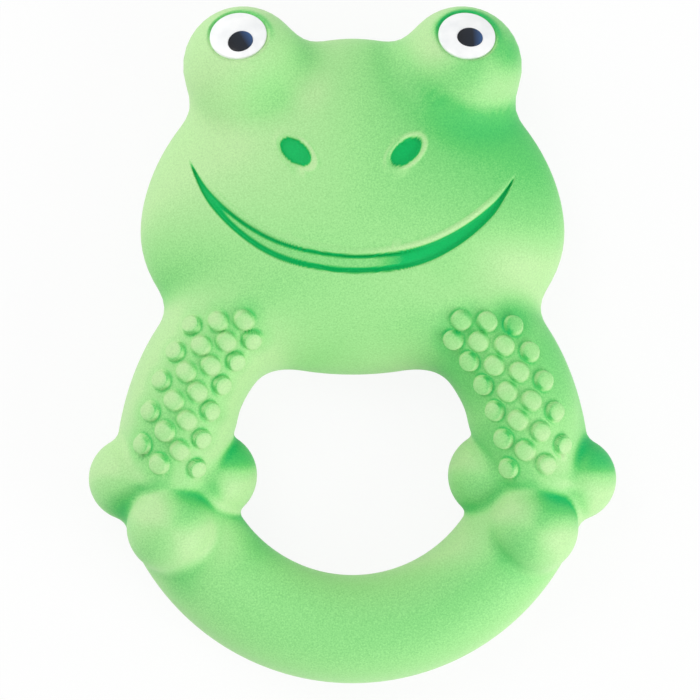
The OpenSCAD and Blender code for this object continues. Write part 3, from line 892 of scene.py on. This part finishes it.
def placeEye(obj, side):
    # The left pupil's oval is turned, so the left inlays turn about their own axis first
    if side < 0:
        obj.rotation_euler = (0, 0, math.radians(pupil["leftTurn"]))
        applyPlace(obj)
    obj.location = toFrame(bulgeCentre * [side, 1, 1])
    obj.rotation_euler = (-math.radians(bulge["tilt"]), side * math.radians(bulge["turn"]), 0)
    applyPlace(obj)
    makeActive(obj)
    bpy.ops.object.shade_smooth_by_angle(angle=math.radians(eyeWhite["crease"]))


def ovalOf(half, share, x, y):
    return {"halfX": half, "halfY": half * share, "x": x, "y": y}


eyeWhites = []
pupils = []
whiteRim = ovalOf(eyeInlay["radius"], 1, 0, 0)
for sideName, side in (("left", -1), ("right", 1)):
    onLeft = 1 if side < 0 else 0
    turn = -math.radians(pupil["leftTurn"]) * onLeft
    drop = pupil["drop"] + pupil["leftDrop"] * onLeft
    shift = pupil["shift"] + pupil["leftShift"] * onLeft
    seatX = shift * math.cos(turn) + drop * math.sin(turn)
    seatY = shift * math.sin(turn) - drop * math.cos(turn)
    seat = ovalOf(pupil["half"] + pupil["gap"], pupil["share"], seatX, seatY)
    white = domedInlay(
        sideName + "EyeWhite", whiteRim, seat, eyeWhite["rows"], whiteDome,
        whiteCrown, eyeInlay["floor"], seatFloor,
    )
    roundRim(white, whiteRim, whiteEdge - eyeWhite["rimDrop"], eyeWhite["rim"])
    roundRim(white, seat, seatFloor + eyeWhite["seatRise"], eyeWhite["seatRim"])
    placeEye(white, side)
    eyeWhites.append(white)

    pupilRim = ovalOf(pupil["half"], pupil["share"], seatX, seatY)
    pupilCore = ovalOf(pupil["half"] * pupil["core"], pupil["share"], seatX, seatY)
    disc = domedInlay(
        sideName + "Pupil", pupilRim, pupilCore, pupil["rows"], whiteDome + pupil["proud"],
        whiteCrown + pupil["proud"], seatFloor, None,
    )
    roundRim(disc, pupilRim, seatFloor + eyeWhite["seatRise"], pupil["rim"])
    local = localPoints(disc)
    # A painted reflection: the pupil's blue pales towards its right end
    setShare(disc, "pupilReflection", np.clip((local[:, 0] - seatX) / pupil["half"] / 2 + 0.5, 0, 1))
    placeEye(disc, side)
    pupils.append(disc)
print("eyes modelled")

# Wadding: two soft rolls in the hollow of the skin, lumpy where the fibre bunches
wadding = {
    "gap": 0.3, "stations": 240, "rows": 48, "split": 52.0, "rest": 1.0,
    "lump": 0.9, "lumpSize": 7.0, "tuft": 0.25, "tuftSize": 1.8, "endRound": 3.0, "endShare": 0.05,
}


def waddingRoll(name, low, high):
    # A roll from one angle round the grip hole to another: a torus opened between its end stations
    obj = addTorus(name, wadding["stations"], wadding["rows"])
    points = readPoints(obj)
    turn = np.arctan2(points[:, 1], points[:, 0]) / (2 * math.pi)
    station = np.rint(turn * wadding["stations"]).astype(int) % wadding["stations"]
    across = np.arctan2(points[:, 2], np.hypot(points[:, 0], points[:, 1]) - torusRadius)
    share = station / (wadding["stations"] - 1)
    angles = np.radians(low + (high - low) * share)
    points = sectionPoints(flatBackDistance, angles, across, skin["wall"] + wadding["gap"])
    bunch = np.array([
        wadding["lump"] * (1 + noise.noise(Vector(p / wadding["lumpSize"])))
        + wadding["tuft"] * (1 + noise.noise(Vector(p / wadding["tuftSize"])))
        for p in points
    ])
    bunch += wadding["endRound"] * (1 - ease(0, wadding["endShare"], np.minimum(share, 1 - share)))
    points = points - formNormals(flatBackDistance, points) * bunch[:, None] / 2
    writePoints(obj, points)
    ends = [np.ptp(station[list(face.vertices)]) > 1 for face in obj.data.polygons]
    selectParts(obj, "polygons", ends)
    bpy.ops.mesh.delete(type="FACE")
    bpy.ops.mesh.select_all(action="SELECT")
    bpy.ops.mesh.fill_holes(sides=0)
    bpy.ops.mesh.normals_make_consistent(inside=False)
    finishEdit()
    makeActive(obj)
    bpy.ops.object.shade_smooth()
    return obj


handleEnd = wadding["split"] - wadding["rest"]
headEnd = wadding["split"] + wadding["rest"]
handleWadding = waddingRoll("handleWadding", -180 - handleEnd, handleEnd)
headWadding = waddingRoll("headWadding", headEnd, 180 - headEnd)
print("wadding laid in")

for obj in (frontForm, backForm):
    makeActive(obj)
    bpy.ops.object.shade_smooth_by_angle(angle=math.radians(skin["crease"]))

# Natural rubber latex: matt, with a fine grain, deeper in colour where painted shade lies in its hollows and
# over the form, and paler where painted light lies
latex, tree = newMaterial("naturalRubberLatex")
paintedShadingInput = addNode(tree, "ShaderNodeAttribute", {"attribute_name": "paintedShadingAndGrooveTone"})
grainWidth = 0.28 * mm  # the real grain is too fine to show, so it is drawn coarser
grain = noiseOf(tree, grainWidth, {"Detail": 3.0, "Roughness": 0.6})
bump = addNode(
    tree, "ShaderNodeBump", None,
    {"Strength": 0.25, "Distance": 0.05 * mm},
    {"Height": grain.outputs["Fac"]},
)
speckle = addNode(
    tree, "ShaderNodeMapRange", None,
    {"From Min": 0.3, "From Max": 0.7, "To Min": -0.06, "To Max": 0.06},
    {"Value": grain.outputs["Fac"]},
)
depthTone = addNode(tree, "ShaderNodeMath", {"operation": "ADD"})
tree.links.new(paintedShadingInput.outputs["Fac"], depthTone.inputs[0])
tree.links.new(speckle.outputs["Result"], depthTone.inputs[1])
tone = addNode(tree, "ShaderNodeValToRGB", links={"Fac": depthTone.outputs[0]})
setRamp(tone.color_ramp, ((0.0, "#BCE6A4"), (0.3, "#9CE08E"), (0.6, "#61CB6C"), (1.0, "#05B860")))
shadeOfGrain = addNode(
    tree, "ShaderNodeMapRange", None,
    {"From Min": 0.3, "From Max": 0.7, "To Min": 1.08, "To Max": 0.92},
    {"Value": grain.outputs["Fac"]},
)
grained = addNode(tree, "ShaderNodeVectorMath", {"operation": "SCALE"})
tree.links.new(tone.outputs["Color"], grained.inputs[0])
tree.links.new(shadeOfGrain.outputs["Result"], grained.inputs["Scale"])
latexShader = addNode(
    tree, "ShaderNodeBsdfPrincipled", None,
    {
        "Roughness": 0.5, "IOR": 1.5, "Specular IOR Level": 0.15,
        "Sheen Weight": 0.05, "Sheen Roughness": 0.5,
    },
    {"Base Color": grained.outputs[0], "Normal": bump.outputs["Normal"]},
)
closeMaterial(tree, latexShader)

for obj, node in ((frontForm, "front_shell"), (backForm, "back_shell")):
    obj.data.materials.append(latex)
    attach(obj, "root")
    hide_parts(node)

# Gloss enamel: smooth and hard, a faintly clouded white in the eyes and near-black navy in the pupils, with a
# painted reflection of paler blue at each pupil's right end
enamelWhite, tree = newMaterial("glossEnamelWhite")
cloudWidth = 2.5 * mm
cloud = noiseOf(tree, cloudWidth, {"Detail": 2.0})
whiteTone = addNode(tree, "ShaderNodeValToRGB", links={"Fac": cloud.outputs["Fac"]})
setRamp(whiteTone.color_ramp, ((0.3, "#F3F5F6"), (0.7, "#FDFEFE")))
shader = addNode(
    tree, "ShaderNodeBsdfPrincipled", None, {"Roughness": 0.25}, {"Base Color": whiteTone.outputs["Color"]}
)
closeMaterial(tree, shader)
enamelNavy, tree = newMaterial("glossEnamelNavy")
across = addNode(tree, "ShaderNodeAttribute", {"attribute_name": "pupilReflection"})
navy = addNode(tree, "ShaderNodeValToRGB", links={"Fac": across.outputs["Fac"]})
setRamp(navy.color_ramp, ((0.0, "#0C1118"), (0.6, "#141D2A"), (1.0, "#35588A")))
shader = addNode(
    tree, "ShaderNodeBsdfPrincipled", None,
    {"Roughness": 0.22, "Specular IOR Level": 0.3},
    {"Base Color": navy.outputs["Color"]},
)
closeMaterial(tree, shader)
for pieces, finish, part, slot in (
    (eyeWhites, enamelWhite, "eye_white", "eye_white"),
    (pupils, enamelNavy, "pupil", "pupil"),
):
    for obj, sideName in zip(pieces, ("left", "right")):
        obj.data.materials.append(finish)
        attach(obj, "root")
        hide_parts(sideName + "_" + part)

# Polyester wadding: carded fibre, matt and soft, with a fine crossing of hairs
fibre, tree = newMaterial("polyesterWadding")
hairWidth = 0.3 * mm  # real fibre is too fine to show, so it is drawn coarser
hairs = noiseOf(tree, hairWidth, {"Detail": 6.0, "Roughness": 0.7, "Distortion": 1.5})
hairTone = addNode(tree, "ShaderNodeValToRGB", links={"Fac": hairs.outputs["Fac"]})
setRamp(hairTone.color_ramp, ((0.3, "#DCD5C4"), (0.7, "#F6F2E8")))
hairBump = addNode(
    tree, "ShaderNodeBump", None, {"Strength": 0.6, "Distance": 0.2 * mm}, {"Height": hairs.outputs["Fac"]}
)
shader = addNode(
    tree, "ShaderNodeBsdfPrincipled", None,
    {"Roughness": 0.9, "Sheen Weight": 0.5},
    {"Base Color": hairTone.outputs["Color"], "Normal": hairBump.outputs["Normal"]},
)
closeMaterial(tree, shader)
for obj, node in ((headWadding, "head_filling"), (handleWadding, "handle_filling")):
    obj.data.materials.append(fibre)
    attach(obj, "root")
    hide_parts(node)


def seenRays(tree):
    # One where the background is looked at, straight on or through a reflection or clear material
    rays = addNode(tree, "ShaderNodeLightPath")
    straight = addNode(tree, "ShaderNodeMath", {"operation": "MAXIMUM"})
    tree.links.new(rays.outputs["Is Camera Ray"], straight.inputs[0])
    tree.links.new(rays.outputs["Is Glossy Ray"], straight.inputs[1])
    seen = addNode(tree, "ShaderNodeMath", {"operation": "MAXIMUM"})
    tree.links.new(straight.outputs[0], seen.inputs[0])
    tree.links.new(rays.outputs["Is Transmission Ray"], seen.inputs[1])
    return seen.outputs[0]


# Floor, white to the camera but still taking the part's shadow
stage = {"size": 6.0, "drop": 0.05 * mm, "glow": 0.9, "white": "#F4F4F4"}
clearSelection()
bpy.ops.mesh.primitive_plane_add(size=stage["size"], location=(0, 0, -stage["drop"]))
floor = bpy.context.object
floor.name = "studioFloor"
floorPaper, tree = newMaterial("whitePaperSweep")
paper = addNode(tree, "ShaderNodeBsdfDiffuse", None, {"Color": linearColor(stage["white"])})
glow = addNode(tree, "ShaderNodeEmission", None, {"Color": (1, 1, 1, 1), "Strength": 1.0})
share = addNode(tree, "ShaderNodeMath", {"operation": "MULTIPLY"})
tree.links.new(seenRays(tree), share.inputs[0])
share.inputs[1].default_value = stage["glow"]
mixed = addNode(tree, "ShaderNodeMixShader", None, None, {"Fac": share.outputs[0]})
tree.links.new(paper.outputs[0], mixed.inputs[1])
tree.links.new(glow.outputs[0], mixed.inputs[2])
closeMaterial(tree, mixed)
floor.data.materials.append(floorPaper)

# Studio light: an even white room, and soft panels from the upper left and the lower right
room = {"overhead": 0.65, "horizon": 0.68}
world = bpy.data.worlds.new("studioRoom")
scene.world = world
world.use_nodes = True
tree = world.node_tree
tree.nodes.clear()
direction = addNode(tree, "ShaderNodeTexCoord")
split = addNode(tree, "ShaderNodeSeparateXYZ", None, None, {"Vector": direction.outputs["Generated"]})
roomLight = addNode(
    tree, "ShaderNodeMapRange", None,
    {"From Min": 0.0, "From Max": 1.0, "To Min": room["horizon"], "To Max": room["overhead"]},
    {"Value": split.outputs["Z"]},
)
strength = addNode(
    tree, "ShaderNodeMix", {"data_type": "FLOAT"}, None, {"Factor": seenRays(tree), "A": roomLight.outputs[0]}
)
strength.inputs["B"].default_value = 1.0
sky = addNode(tree, "ShaderNodeBackground", None, {"Color": (1, 1, 1, 1)}, {"Strength": strength.outputs[0]})
addNode(tree, "ShaderNodeOutputWorld", None, None, {"Surface": sky.outputs[0]})

panels = {
    "leftPanel": {"elevation": 15, "azimuth": 148, "distance": 0.5, "size": 0.3, "power": 0.48},
    "upperLeftPanel": {"elevation": 58, "azimuth": 133, "distance": 0.77, "size": 0.4, "power": 1.16},
    "lowerRightPanel": {"elevation": 26, "azimuth": 325, "distance": 0.8, "size": 0.43, "power": 2.95},
}
for panelName, panel in panels.items():
    clearSelection()
    elevation = math.radians(panel["elevation"])
    azimuth = math.radians(panel["azimuth"])
    level = math.cos(elevation)
    away = Vector((level * math.cos(azimuth), level * math.sin(azimuth), math.sin(elevation)))
    bpy.ops.object.light_add(type="AREA", location=away * panel["distance"])
    lamp = bpy.context.object
    lamp.name = panelName
    lamp.data.shape = "SQUARE"
    lamp.data.size = panel["size"]
    lamp.data.energy = panel["power"]
    lamp.rotation_euler = (-away).to_track_quat("-Z", "Y").to_euler()
print("stage and light set")
